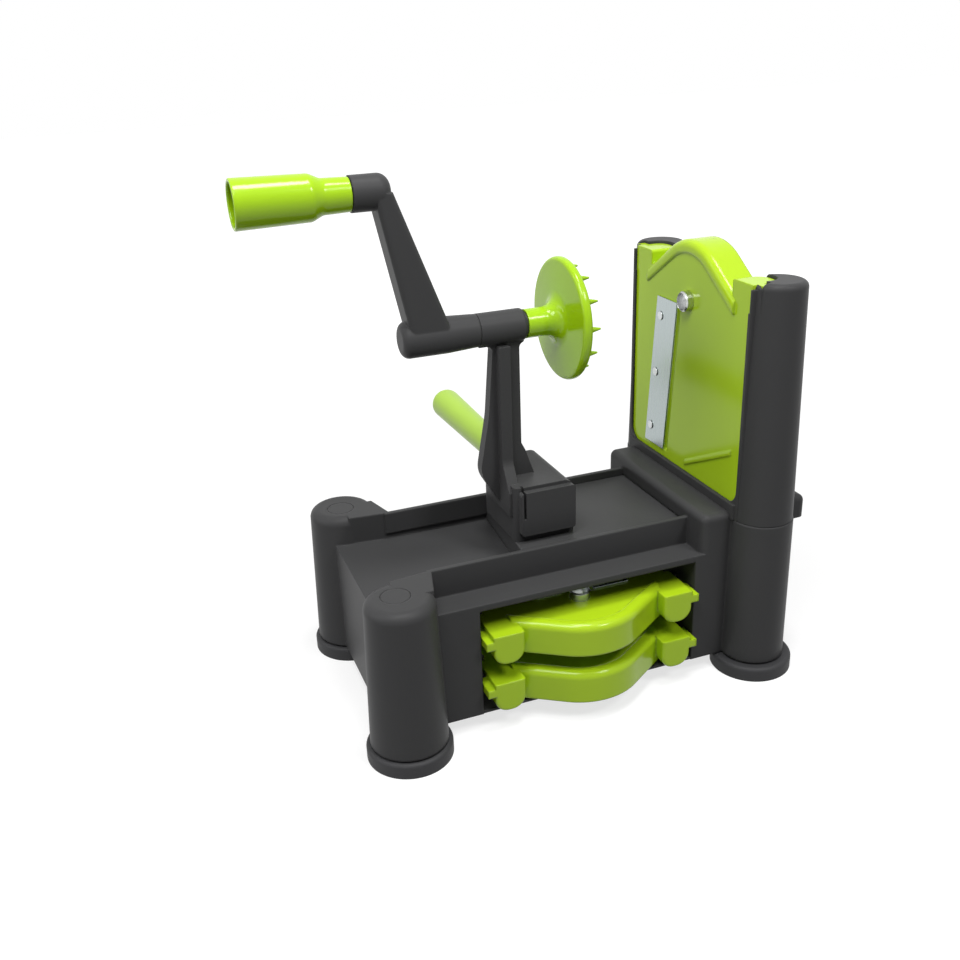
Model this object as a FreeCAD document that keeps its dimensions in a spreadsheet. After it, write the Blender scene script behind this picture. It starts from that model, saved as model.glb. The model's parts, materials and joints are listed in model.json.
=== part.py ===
import FreeCAD, Part

import os
import re

import Sketcher

# Spiral slicer with a hand crank, in millimetres.
# The origin is on the counter, in the middle of the four feet. +X runs along the crank axis from the
# crank towards the blade panel, +Y to the side of the push handle and +Z up.

SIZES = {
    # stance and feet
    "foot_pitch_long": 204,
    "foot_pitch_wide": 114,
    "foot_radius": 22.3,
    "foot_height": 8,
    "foot_rounding": 2,
    "foot_cup_radius": 17,
    "foot_cup_depth": 3.5,
    "foot_stem_radius": 5,
    "foot_stem_head": 6.5,
    "foot_stem_head_height": 3,
    # columns
    "foot_gap": 1,
    "left_column_foot_radius": 20.2,
    "left_column_top_radius": 17.7,
    "right_column_foot_radius": 17.6,
    "right_column_parting_radius": 16.6,
    "right_column_top_radius": 14.1,
    "parting_rise": 18.4,
    "parting_ledge": 0.4,
    "frame_above_axis": 21.5,
    "left_column_rounding": 5,
    "column_rounding": 3.3,
    "column_wall": 2.6,
    "column_floor": 3,
    # housing
    "housing_bottom": 8.6,
    "housing_half_width": 54.5,
    "housing_wall": 2.6,
    "deck_height": 74,
    "deck_thickness": 3.5,
    "left_overhang": 8.5,
    "right_overhang": 20,
    "rail_inner_half": 36,
    "rail_thickness": 2.6,
    "rail_height": 16,
    "rail_start": 20,
    "groove_depth": 1.2,
    "groove_height": 3.4,
    # crossbars, measured from the right column axis
    "front_bar_setback": 34,
    "front_bar_width": 16,
    "front_bar_rise": 22,
    "rear_bar_offset": 18,
    "rear_bar_overhang": 11,
    "rear_bar_rise": 23,
    "rear_bar_thickness": 13,
    "bar_rounding": 3.5,
    "bar_corner": 4,
    "bar_clearance": 0.5,
    # blade frame
    "sill_rise": 27,
    "window_half_width": 56.8,
    "window_rounding": 8,
    "slot_depth": 2.8,
    "slot_back_wall": 3,
    "lip_thickness": 1,
    "lip_width": 2.4,
    "spigot_radius": 8,
    "spigot_length": 6,
    "socket_floor": 6,
    # blade panels
    "plate_setback": 15.5,
    "plate_thickness": 3,
    "plate_corner": 4,
    "panel_clearance": 0.3,
    "hood_peak": 32.6,
    "hood_radius": 36,
    "hood_slope": 0.675,
    "hood_wall": 3,
    "hood_depth": 16.5,
    "hood_lip": 1.5,
    "hood_lip_width": 7,
    "hood_lip_rounding": 1.2,
    "hood_rounding": 4,
    "ear_inner_half": 40.5,
    "ear_outer_half": 57.5,
    "ear_bottom": 6.6,
    "ear_top": 20.2,
    "ear_depth": 17.3,
    "ear_rounding": 7.5,
    "ear_edge_rounding": 1.4,
    "ear_tab_half": 61.5,
    "ear_tab_setback": 2.6,
    "ear_tab_thickness": 4.4,
    "ridge_start": 3.8,
    "ridge_end": 48.4,
    "ridge_start_rise": 5.9,
    "ridge_end_rise": 28,
    "ridge_width": 2.6,
    "ridge_height": 0.8,
    # blades
    "blade_width": 20.9,
    "blade_thickness": 1,
    "blade_lean": 0.104,
    "blade_edge_offset": 10,
    "blade_top": -3.5,
    "blade_foot_margin": 6.9,
    "blade_slot": 3,
    "rivet_radius": 1.6,
    "rivet_head_radius": 2.6,
    "rivet_head_height": 0.6,
    "coring_radius": 5.5,
    "coring_wall": 0.8,
    "coring_proud": 4.5,
    "coring_flange_radius": 7.6,
    "coring_flange_thickness": 1,
    "comb_inner": 5,
    "comb_outer": 22,
    "comb_top": -6.5,
    "comb_foot_margin": 15.9,
    "upper_comb_pitch": 3,
    "lower_comb_pitch": 6,
    "comb_tooth_height": 3.2,
    "comb_thickness": 0.8,
    # storage bay
    "bay_centre": 2,
    "bay_clearance": 0.8,
    "bay_wall": 2.6,
    "stored_axis_offset": 40.4,
    "stored_drop": 13.5,
    "stored_pitch": 28.5,
    "runner_depth": 8,
    "runner_thickness": 2,
    "runner_front": 36,
    # carriage
    "tower_to_panel": 110.8,
    "slab_half_width": 35.5,
    "slab_bottom_gap": 0.3,
    "slab_rise": 11.8,
    "slab_lead": 2.7,
    "slab_length": 100,
    "slab_wall": 3,
    "slab_slant": 6,
    "tongue_clearance": 0.3,
    # tower
    "crank_axis_height": 198.9,
    "sleeve_radius": 8.45,
    "sleeve_left": 12,
    "sleeve_length": 25.3,
    "sleeve_rounding": 2,
    "sleeve_bore_radius": 5.5,
    "post_rib_width": 6.2,
    "post_rib_half_depth": 8,
    "post_web_thickness": 6.4,
    "post_left": 4.7,
    "post_right": 9.9,
    "post_tip": 1.2,
    "post_tip_drop": 17.2,
    "post_belly": 13.8,
    "post_belly_rise": 4.5,
    "post_belly_radius": 14,
    "post_waist": 8,
    "post_waist_rise": 35.6,
    "post_waist_radius": 60,
    "post_flare": 7,
    "post_step": 2.2,
    "post_step_rise": 14,
    "sleeve_fillet": 2.8,
    "sleeve_fillet_left": 3,
    "rib_foot_half": 16.5,
    "rib_foot_drop": 4,
    "rib_flare_rise": 10,
    "block_left": 1.5,
    "block_length": 33.6,
    "block_height": 31.2,
    "block_front": 20,
    "block_back": 27,
    "block_corner": 5,
    "block_rounding": 3,
    "box_proud": 3.5,
    "box_left": 0.8,
    "box_drop": 2,
    "box_height": 25,
    "box_rounding": 2,
    "box_slot_left": 2.3,
    "box_slot_width": 1.3,
    "box_slot_length": 17,
    "box_slot_depth": 6,
    # push handle
    "handle_offset": 18,
    "handle_drop": 8,
    "handle_root_radius": 7.2,
    "handle_tip_radius": 9.8,
    "handle_length": 124,
    "handle_tip_rounding": 7.5,
    "handle_spigot_radius": 5,
    "handle_spigot_length": 12,
    # crank
    "shaft_radius": 4,
    "shaft_clearance": 0.05,
    "fixed_fit": 0.02,
    "flat_depth": 0.8,
    "hub_length": 40,
    "hub_gap": 0.2,
    "hub_radius": 9.3,
    "hub_taper_radius": 8.4,
    "hub_taper_start": 24,
    "hub_rounding": 4,
    "hub_bore_depth": 34,
    "crank_radius": 72,
    "arm_half_width": 8.2,
    "arm_foot_left": 47.2,
    "arm_foot_right": 25.6,
    "arm_head_left": 60.1,
    "arm_head_right": 52.3,
    "arm_rounding": 2.5,
    "boss_radius": 8.5,
    "boss_left": 71.3,
    "boss_rounding": 6,
    "bush_length": 8,
    "washer_radius": 6.6,
    "washer_thickness": 0.7,
    "washer_gap": 0.1,
    # food holder
    "neck_radius": 7.5,
    "disc_radius": 31.8,
    "disc_rim_thickness": 5,
    "disc_rim_rounding": 2.2,
    "disc_front": 38.2,
    "disc_dish": 1.5,
    "disc_flare": 8,
    "holder_recess": 1.8,
    "holder_head_height": 1.5,
    "tooth_count": 12,
    "tooth_circle_radius": 26.5,
    "tooth_radius": 2.1,
    "tooth_tip_radius": 0.5,
    "tooth_height": 6,
    # grip
    "grip_gap": 0.4,
    "grip_neck_radius": 7.9,
    "grip_neck_end_radius": 8.3,
    "grip_neck_length": 15.5,
    "grip_shoulder_radius": 10.8,
    "grip_shoulder_length": 5.2,
    "grip_end_radius": 11.6,
    "grip_body_length": 38.1,
    "grip_shoulder_rounding": 5,
    "grip_floor_rounding": 2,
    "grip_end_rounding": 0.7,
    "grip_wall": 1.6,
    "grip_floor": 3,
    "grip_pin_radius": 3,
    "grip_pin_head_radius": 5,
    "grip_pin_head_height": 3,
    "grip_pin_thread_length": 13,
    "grip_washer_thickness": 0.8,
    # small screws and plugs
    "screw_radius": 1.8,
    "screw_head_radius": 3.4,
    "screw_head_height": 2.4,
    "screw_grip": 9,
    "screw_fit": 0.1,
    "plug_radius": 7.4,
    "plug_thickness": 2,
    "plug_inset": 2.7,
    "plug_outset": 1,
    "plug_fit": 0.1,
}

# Places worked out from the sizes above.
PLACES = {
    "column_x": "foot_pitch_long / 2",
    "column_y": "foot_pitch_wide / 2",
    "column_bottom": "foot_height + foot_gap",
    "rail_top": "deck_height + rail_height",
    "left_column_height": "rail_top",
    "parting_height": "deck_height + parting_rise",
    "frame_height": "crank_axis_height + frame_above_axis",
    "window_sill": "deck_height + sill_rise",
    "slot_floor": "window_sill - slot_depth",
    "housing_left": "-column_x - left_overhang",
    "housing_right": "column_x + right_overhang",
    "front_bar_left": "column_x - front_bar_setback",
    "front_bar_right": "front_bar_left + front_bar_width",
    "rear_bar_left": "column_x + rear_bar_offset",
    "rear_bar_right": "housing_right + rear_bar_overhang",
    "front_bar_top": "deck_height + front_bar_rise",
    "rear_bar_top": "deck_height + rear_bar_rise",
    "rail_outer_half": "rail_inner_half + rail_thickness",
    "rail_left": "-column_x + rail_start",
    "bay_half_length": "ear_tab_half + bay_clearance",
    "bay_left": "bay_centre - bay_half_length",
    "bay_right": "bay_centre + bay_half_length",
    "under_deck": "deck_height - deck_thickness",
    "upper_plate_top": "under_deck - stored_drop",
    "lower_plate_top": "upper_plate_top - stored_pitch",
    "slab_top": "deck_height + slab_rise",
    "bar_underside": "slab_top + bar_clearance",
    "plate_front": "column_x - plate_setback",
    "plate_back": "plate_front + plate_thickness",
    "slot_front": "plate_front - panel_clearance",
    "slot_back": "plate_back + panel_clearance",
    "tower_x": "plate_front - tower_to_panel",
    "grip_axis_height": "crank_axis_height + crank_radius",
    "hood_stretch": "sqrt(1 + hood_slope * hood_slope)",
    "hood_corner": "hood_peak + hood_radius * (hood_stretch - 1)",
    "plate_half_width": "ear_outer_half",
    "plate_below_axis": "crank_axis_height - slot_floor - panel_clearance",
    "blade_length": "plate_below_axis + blade_top - blade_foot_margin",
    "comb_length": "plate_below_axis + comb_top - comb_foot_margin",
    "ridge_start_drop": "plate_below_axis - ridge_start_rise",
    "ridge_end_drop": "plate_below_axis - ridge_end_rise",
    "hub_right": "-sleeve_left - hub_gap",
    "hub_left": "hub_right - hub_length",
    "sleeve_right": "sleeve_length - sleeve_left",
    "washer_left": "sleeve_right + washer_gap",
    "neck_left": "washer_left + washer_thickness",
    "disc_back": "disc_front - disc_rim_thickness",
    "block_top": "slab_top + block_height",
    "box_front": "block_front + box_proud",
    "box_top": "block_top - box_drop",
    "box_bottom": "box_top - box_height",
    "post_tip_height": "block_top - post_tip_drop",
    "post_belly_height": "block_top + post_belly_rise",
    "post_waist_height": "block_top + post_waist_rise",
    "post_step_height": "block_top + post_step_rise",
    "rib_flare_height": "block_top + rib_flare_rise",
    "handle_height": "block_top - handle_drop",
    "holder_shaft_end": "disc_back - fixed_fit",
    "block_right": "block_length - block_left",
    "slab_left": "-slab_lead",
    "slab_right": "slab_length - slab_lead",
    "slab_bottom": "deck_height + slab_bottom_gap",
    "grip_right": "-boss_left - grip_gap",
    "grip_shoulder": "grip_right - grip_neck_length",
    "grip_end": "grip_shoulder - grip_body_length",
    "grip_neck_left": "grip_shoulder + grip_shoulder_length / 2",
    "grip_body_right": "grip_shoulder - grip_shoulder_length / 2",
    "grip_cavity_floor": "grip_shoulder - grip_floor",
    "socket_bottom": "parting_height - spigot_length - screw_fit",
    "socket_underside": "socket_bottom - socket_floor",
    "ear_notch_bottom": "crank_axis_height + ear_bottom - panel_clearance",
    "screw_seat": "slab_bottom + screw_head_height + screw_fit",
    "tongue_half": "rail_inner_half + groove_depth - tongue_clearance",
    "tongue_height": "groove_height - slab_bottom_gap - tongue_clearance",
}

document = FreeCAD.newDocument("SpiralSlicer")
sheet = document.addObject("Spreadsheet::Sheet", "dim")
for row, (alias, number) in enumerate(SIZES.items(), 1):
    sheet.set(f"A{row}", str(number))
    sheet.setAlias(f"A{row}", alias)
document.recompute()

WORD = re.compile(r"[a-z_]+[a-z_0-9]*")


def spelled(formula):
    """A formula with every place written out in sizes of the sheet."""
    def swap(match):
        word = match.group(0)
        return f"({spelled(PLACES[word])})" if word in PLACES else word
    return WORD.sub(swap, str(formula))


def value(formula):
    """The number that a formula has with the sheet's present sizes."""
    return float(sheet.evalExpression(spelled(formula)))


def bind(item, path, formula):
    """Drive a property of an object by a formula of the sheet's sizes."""
    def from_sheet(match):
        word = match.group(0)
        return f"dim.{word}" if word in SIZES else word
    item.setExpression(path, WORD.sub(from_sheet, spelled(formula)))


def new_body(label, x="0", y="0", z="0", turn=None):
    """An empty body for one sub-part, placed by formulas."""
    body = document.addObject("PartDesign::Body", label)
    body.Label = label
    if turn is not None:
        body.Placement = FreeCAD.Placement(FreeCAD.Vector(), turn)
    for axis, formula in (("x", x), ("y", y), ("z", z)):
        if formula != "0":
            bind(body, f"Placement.Base.{axis}", formula)
    return body


def new_sketch(body, plane, offset="0", shift=("0", "0")):
    """A sketch on one of the body's origin planes, moved along its normal and in the plane."""
    sketch = body.newObject("Sketcher::SketchObject", f"{body.Name}_sketch")
    support = next(item for item in body.Origin.OriginFeatures if item.Role == f"{plane}_Plane")
    sketch.AttachmentSupport = (support, [""])
    sketch.MapMode = "FlatFace"
    for axis, formula in zip("xyz", (*shift, offset)):
        if formula != "0":
            bind(sketch, f"AttachmentOffset.Base.{axis}", formula)
    return sketch


def pin_point(sketch, geometry, vertex, across, along):
    """Hold a sketch point at two formulas measured from the sketch origin."""
    for kind, formula, axis in (("DistanceX", across, -2), ("DistanceY", along, -1)):
        if formula == "0":
            sketch.addConstraint(Sketcher.Constraint("PointOnObject", geometry, vertex, axis))
            continue
        index = sketch.addConstraint(
            Sketcher.Constraint(kind, -1, 1, geometry, vertex, value(formula)))
        bind(sketch, f"Constraints[{index}]", formula)


def rounding(before, corner, after, radius):
    """Tangent points and arc of a rounded corner, and whether the outline turns left there."""
    arriving = (corner - before).normalize()
    leaving = (after - corner).normalize()
    left_turn = arriving.cross(leaving).z > 0
    reach = radius * ((1 - arriving.dot(leaving)) / (1 + arriving.dot(leaving))) ** 0.5
    start = corner - arriving * reach
    end = corner + leaving * reach
    inward = FreeCAD.Vector(-arriving.y, arriving.x, 0) * (1 if left_turn else -1)
    centre = start + inward * radius
    middle = centre + (corner - centre).normalize() * radius
    return start, end, Part.Arc(start, middle, end), left_turn


def draw_outline(sketch, corners):
    """Closed outline through corners (across, along) or (across, along, radius), all formulas."""
    corners = [tuple(corner) + ("0",) * (3 - len(corner)) for corner in corners]
    points = [FreeCAD.Vector(value(x), value(y), 0) for x, y, _ in corners]
    count = len(corners)
    starts, ends, arcs = list(points), list(points), {}
    for index, (_, _, radius) in enumerate(corners):
        if radius != "0":
            ends[index], starts[index], arc, left_turn = rounding(
                points[index - 1], points[index], points[(index + 1) % count], value(radius))
            arcs[index] = (arc, left_turn)
    lines = [
        sketch.addGeometry(Part.LineSegment(starts[index], ends[(index + 1) % count]), False)
        for index in range(count)]
    for index, (across, along, radius) in enumerate(corners):
        arriving, leaving = lines[index - 1], lines[index]
        if index not in arcs:
            sketch.addConstraint(Sketcher.Constraint("Coincident", arriving, 2, leaving, 1))
            pin_point(sketch, leaving, 1, across, along)
            continue
        arc, left_turn = arcs[index]
        curve = sketch.addGeometry(arc, False)
        marker = sketch.addGeometry(Part.Point(points[index]), True)
        pin_point(sketch, marker, 1, across, along)
        sketch.addConstraint(Sketcher.Constraint("PointOnObject", marker, 1, arriving))
        sketch.addConstraint(Sketcher.Constraint("PointOnObject", marker, 1, leaving))
        first, last = (1, 2) if left_turn else (2, 1)
        sketch.addConstraint(Sketcher.Constraint("Tangent", arriving, 2, curve, first))
        sketch.addConstraint(Sketcher.Constraint("Tangent", curve, last, leaving, 1))
        index_radius = sketch.addConstraint(
            Sketcher.Constraint("Radius", curve, arc.toShape().Curve.Radius))
        bind(sketch, f"Constraints[{index_radius}]", radius)


def draw_circle(sketch, across, along, radius):
    """Circle whose centre and radius are formulas."""
    centre = FreeCAD.Vector(value(across), value(along), 0)
    circle = sketch.addGeometry(Part.Circle(centre, FreeCAD.Vector(0, 0, 1), value(radius)), False)
    pin_point(sketch, circle, 3, across, along)
    index = sketch.addConstraint(Sketcher.Constraint("Radius", circle, value(radius)))
    bind(sketch, f"Constraints[{index}]", radius)


def outline(body, plane, offset, *shapes, shift=("0", "0")):
    """Sketch of one or more closed outlines."""
    sketch = new_sketch(body, plane, offset, shift)
    for corners in shapes:
        draw_outline(sketch, corners)
    return sketch


def circles(body, plane, offset, discs):
    sketch = new_sketch(body, plane, offset)
    for across, along, radius in discs:
        draw_circle(sketch, across, along, radius)
    return sketch


def feature(body, kind, sketch, **settings):
    """Add one PartDesign feature made from a sketch and rebuild the body."""
    item = body.newObject(f"PartDesign::{kind}", f"{body.Name}_{kind}")
    item.Profile = sketch
    for name, setting in settings.items():
        setattr(item, name, setting)
    return item


def volume(body):
    return body.Tip.Shape.Volume if body.Tip is not None else 0.0


def settle(body, before, grows):
    """Recompute and make sure that the last feature added or removed material."""
    document.recompute()
    change = volume(body) - before
    if (change > 0) != grows or abs(change) < 1e-6:
        raise RuntimeError(f"{body.Label}: {body.Tip.Name} changes the volume by {change:.4f}")


def pad(body, sketch, length, **settings):
    before = volume(body)
    item = feature(body, "Pad", sketch, **settings)
    bind(item, "Length", length)
    settle(body, before, True)
    return item


def pocket(body, sketch, length, **settings):
    before = volume(body)
    item = feature(body, "Pocket", sketch, **settings)
    bind(item, "Length", length)
    settle(body, before, False)
    return item


def turned(body, kind, sketch, axis):
    """Revolution or Groove about one of the sketch's own axes."""
    before = volume(body)
    feature(body, kind, sketch, ReferenceAxis=(sketch, [axis]), Angle=360)
    settle(body, before, kind == "Revolution")


def mirror_last(body, plane, originals):
    """Mirror features of a body about one of its origin planes."""
    before = volume(body)
    support = next(item for item in body.Origin.OriginFeatures if item.Role == f"{plane}_Plane")
    item = body.newObject("PartDesign::Mirrored", f"{body.Name}_Mirrored")
    item.Originals = originals
    item.MirrorPlane = (support, [""])
    body.Tip = item
    document.recompute()
    if abs(volume(body) - before) < 1e-6:
        raise RuntimeError(f"{body.Label}: mirror changes nothing")
    return item


def edges_where(body, test):
    """Names of the body's edges whose bounding box passes a test."""
    return [f"Edge{number}" for number, edge in enumerate(body.Tip.Shape.Edges, 1)
            if test(edge)]


def round_edges(body, radius, test, kind="Fillet"):
    """Fillet or chamfer the edges that pass a test."""
    names = edges_where(body, test)
    if not names:
        raise RuntimeError(f"{body.Label}: no edge to round")
    before = body.Tip
    item = body.newObject(f"PartDesign::{kind}", f"{body.Name}_{kind}")
    item.Base = (before, names)
    bind(item, "Radius" if kind == "Fillet" else "Size", radius)
    document.recompute()
    if item.Shape.isNull() or close(item.Shape.Volume, before.Shape.Volume, 1e-6):
        raise RuntimeError(f"{body.Label}: edges {names} stay sharp")
    return item


def close(first, second, slack=0.02):
    return abs(first - second) < slack


def flat_at(axis, place):
    """Test for edges that lie in the plane axis = place."""
    goal = value(place)

    def test(edge):
        box = edge.BoundBox
        low, high = (box.XMin, box.XMax) if axis == "x" else (
            (box.YMin, box.YMax) if axis == "y" else (box.ZMin, box.ZMax))
        return close(low, goal) and close(high, goal)
    return test


def both(*tests):
    return lambda edge: all(test(edge) for test in tests)


def either(*tests):
    return lambda edge: any(test(edge) for test in tests)


def negated(formula):
    return "0" if formula == "0" else f"-({formula})"


def mirrored_outline(half):
    """Outline symmetric about the vertical axis, from its right half, bottom to top."""
    other = [(negated(corner[0]),) + tuple(corner[1:]) for corner in reversed(half)
             if corner[0] != "0"]
    return list(half) + other


def rectangle(left, bottom, right, top, radius="0"):
    return [(left, bottom, radius), (right, bottom, radius), (right, top, radius),
            (left, top, radius)]


def suction_foot(label, side_x, side_y):
    """Rubber suction cup whose mushroom stem snaps into the floor of a column."""
    foot = new_body(label, f"{side_x} * column_x", f"{side_y} * column_y")
    stem_top = "column_bottom + column_floor + panel_clearance"
    profile = [
        ("0", "foot_cup_depth"),
        ("foot_cup_radius", "0"),
        ("foot_radius", "0"),
        ("foot_radius", "foot_height", "foot_rounding"),
        ("foot_stem_radius", "foot_height"),
        ("foot_stem_radius", stem_top),
        ("foot_stem_head", stem_top),
        ("foot_stem_head", f"{stem_top} + foot_stem_head_height", "foot_rounding"),
        ("0", f"{stem_top} + foot_stem_head_height"),
    ]
    turned(foot, "Revolution", outline(foot, "XZ", "0", profile), "V_Axis")
    return foot


def column_profile(radius_low, radius_high, low, high, rounding_radius="0"):
    return [("0", low), (radius_low, low), (radius_high, high, rounding_radius), ("0", high)]


def column_pair(body, kind, axis_x, *profiles):
    """Turned forms on a column axis at the near side, mirrored to the far side."""
    first = len(body.Group)
    for profile in profiles:
        sketch = outline(body, "XZ", "column_y", profile, shift=(axis_x, "0"))
        turned(body, kind, sketch, "V_Axis")
    made = [item for item in body.Group[first:] if item.TypeId.startswith("PartDesign::")]
    mirror_last(body, "XZ", made)


def wall_across(body, left, thickness, low="housing_bottom", high="under_deck"):
    """Upright wall across the housing, from one side wall to the other."""
    shape = rectangle("-housing_half_width", low, "housing_half_width", high)
    pad(body, outline(body, "YZ", left, shape), thickness)


def base_housing():
    """Moulded base: channel with rails, hollow side walls, bay, columns and crossbars."""
    body = new_body("base_housing")
    inner_half = "housing_half_width - housing_wall"
    groove_half = "rail_inner_half + groove_depth"
    groove_top = "deck_height + groove_height"
    section = mirrored_outline([
        (inner_half, "under_deck"),
        (inner_half, "housing_bottom"),
        ("housing_half_width", "housing_bottom"),
        ("housing_half_width", "deck_height"),
        ("rail_outer_half", "deck_height"),
        ("rail_outer_half", "rail_top"),
        ("rail_inner_half", "rail_top"),
        ("rail_inner_half", groove_top),
        (groove_half, groove_top),
        (groove_half, "deck_height"),
    ])
    pad(body, outline(body, "YZ", "housing_left", section), "housing_right - housing_left")

    # The rails start beside the left columns, and a web joins each to its column.
    rail_gap = rectangle("housing_left - 1", "deck_height", "rail_left", "rail_top + 1")
    pocket(body, outline(body, "XZ", "0", rail_gap), "2 * housing_half_width + 2",
           SideType="Symmetric")
    web_end = "rail_left + rail_thickness"
    web = [
        ("-column_x", "-column_y"),
        ("left_column_top_radius - column_x", "-column_y"),
        (web_end, "-rail_outer_half"),
        (web_end, negated(groove_half)),
        ("rail_left", negated(groove_half)),
        ("-column_x", "left_column_top_radius - column_y"),
    ]
    near_web = pad(body, outline(body, "XY", "under_deck", web), "rail_top - under_deck")
    mirror_last(body, "XZ", [near_web])

    # The storage bay runs through both side walls, between two partitions.
    bay = rectangle("bay_left", "housing_bottom - 1", "bay_right", "under_deck")
    pocket(body, outline(body, "XZ", "0", bay), "2 * housing_half_width + 2",
           SideType="Symmetric")
    wall_across(body, "housing_left", "housing_wall")
    wall_across(body, "housing_right - housing_wall", "housing_wall")
    wall_across(body, "bay_left - bay_wall", "bay_wall")
    wall_across(body, "bay_right", "bay_wall")
    storage_runners(body)

    cheeks_and_crossbars(body)

    # Columns stand over the walls and are hollow inside.
    left_x, right_x = "-column_x", "column_x"
    column_pair(
        body, "Revolution", left_x,
        column_profile("left_column_foot_radius", "left_column_top_radius", "column_bottom",
                       "left_column_height", "left_column_rounding"))
    column_pair(
        body, "Revolution", right_x,
        column_profile("right_column_foot_radius", "right_column_parting_radius + parting_ledge",
                       "column_bottom", "parting_height", "parting_ledge"))
    cavity_floor = "column_bottom + column_floor"
    stem_hole = "foot_stem_radius + screw_fit"
    column_pair(
        body, "Groove", left_x,
        column_profile("left_column_foot_radius - column_wall",
                       "left_column_top_radius - column_wall", cavity_floor,
                       "left_column_height - plug_thickness - column_wall"),
        column_profile(stem_hole, stem_hole, "housing_bottom - 1", cavity_floor))
    column_pair(
        body, "Groove", right_x,
        column_profile("right_column_foot_radius - column_wall",
                       "right_column_parting_radius - column_wall", cavity_floor,
                       "socket_underside"),
        column_profile(stem_hole, stem_hole, "housing_bottom - 1", cavity_floor),
        column_profile("screw_radius + screw_fit", "screw_radius + screw_fit",
                       "socket_underside", "socket_bottom"),
        column_profile("spigot_radius + screw_fit", "spigot_radius + screw_fit",
                       "socket_bottom", "parting_height"))
    plug_recess = [(x, y, "plug_radius + plug_fit") for x, y, _ in plug_places()]
    pocket(body, circles(body, "XY", "left_column_height", plug_recess), "plug_thickness")
    return body


def storage_runners(body):
    """Grooved ledges on the bay partitions; each pair carries the edges of one stored panel."""
    ledges = []
    for top in ("upper_plate_top", "lower_plate_top"):
        under = f"{top} - plate_thickness - panel_clearance"
        above = f"{top} + panel_clearance"
        for low, high in ((f"{under} - runner_thickness", under),
                          (above, f"{above} + runner_thickness")):
            ledges.append(rectangle("bay_left - 0.5", low, "bay_left + runner_depth", high))
            ledges.append(rectangle("bay_right - runner_depth", low, "bay_right + 0.5", high))
    sketch = outline(body, "XZ", "0", *ledges)
    pad(body, sketch, "2 * runner_front", SideType="Symmetric")


def cheeks_and_crossbars(body):
    """Raised sides that carry the blade frame, and the crossbars over the channel."""
    cheek = rectangle("rail_outer_half - 0.5", "under_deck", "housing_half_width",
                      "parting_height")
    far_cheek = [(negated(y), z, radius) for y, z, radius in reversed(cheek)]
    pad(body, outline(body, "YZ", "front_bar_left", cheek, far_cheek),
        "housing_right - front_bar_left")
    bars = (("front_bar_left", "front_bar_width", "under_deck", "front_bar_top"),
            ("rear_bar_left", "rear_bar_right - rear_bar_left",
             "rear_bar_top - rear_bar_thickness", "rear_bar_top"))
    for left, width, foot, top in bars:
        section = mirrored_outline([
            ("rail_outer_half", "bar_underside"),
            ("rail_outer_half", foot),
            ("housing_half_width", foot),
            ("housing_half_width", top, "bar_rounding"),
        ])
        pad(body, outline(body, "YZ", left, section), width)
    outer_top_edges = either(
        both(flat_at("x", "front_bar_left"), flat_at("z", "front_bar_top")),
        both(flat_at("x", "rear_bar_right"), flat_at("z", "rear_bar_top")))
    round_edges(body, "bar_corner", outer_top_edges)


def plug_places():
    """Centre and radius of the round plugs on the left columns, set off the column axis."""
    x, y = "-column_x - plug_outset", "column_y - plug_inset"
    return [(x, negated(y), "plug_radius"), (x, y, "plug_radius")]


def grouped_body(label, *place):
    """Body that holds several separate solids."""
    body = new_body(label, *place)
    body.AllowCompound = True
    return body


def column_plugs():
    plugs = grouped_body("column_plugs")
    pad(plugs, circles(plugs, "XY", "left_column_height - plug_thickness", plug_places()),
        "plug_thickness")
    return plugs


def blade_frame():
    """Tall right columns and the grooved bar between them that hold the inserted panel."""
    frame = new_body("blade_frame")
    channel = [
        ("front_bar_right", "parting_height"),
        ("slot_back + slot_back_wall", "parting_height"),
        ("slot_back + slot_back_wall", "window_sill"),
        ("slot_back", "window_sill"),
        ("slot_back", "slot_floor"),
        ("slot_front", "slot_floor"),
        ("slot_front", "window_sill"),
        ("front_bar_right", "window_sill"),
    ]
    pad(frame, outline(frame, "XZ", "0", channel), "2 * column_y", SideType="Symmetric")
    column_pair(
        frame, "Revolution", "column_x",
        column_profile("right_column_parting_radius", "right_column_top_radius",
                       "parting_height", "frame_height", "column_rounding"))
    lip_front = "slot_front - lip_thickness"
    lip = rectangle("window_half_width - window_rounding", "parting_height",
                    "window_half_width + lip_width", "frame_height - column_rounding")
    other_lip = [(negated(y), z, radius) for y, z, radius in reversed(lip)]
    pad(frame, outline(frame, "YZ", lip_front, lip, other_lip), f"column_x - ({lip_front})")

    window = [
        ("-window_half_width", "window_sill", "window_rounding"),
        ("window_half_width", "window_sill", "window_rounding"),
        ("window_half_width", "frame_height + 1"),
        ("-window_half_width", "frame_height + 1"),
    ]
    pocket(frame, outline(frame, "YZ", "slot_front", window), "2 * right_column_parting_radius")
    slot_half = "plate_half_width + panel_clearance"
    slot = rectangle(f"-({slot_half})", "slot_floor", slot_half, "frame_height + 1")
    pocket(frame, outline(frame, "YZ", "slot_back", slot), "slot_back - slot_front")
    ear_notches(frame)

    spigots = [("column_x", y, "spigot_radius") for y in ("-column_y", "column_y")]
    pad(frame, circles(frame, "XY", "parting_height", spigots), "spigot_length", Reversed=True)
    pilots = [("column_x", y, "screw_radius + fixed_fit") for y in ("-column_y", "column_y")]
    pocket(frame, circles(frame, "XY", "parting_height - spigot_length", pilots),
           "screw_grip + panel_clearance", Reversed=True)
    return frame


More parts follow.
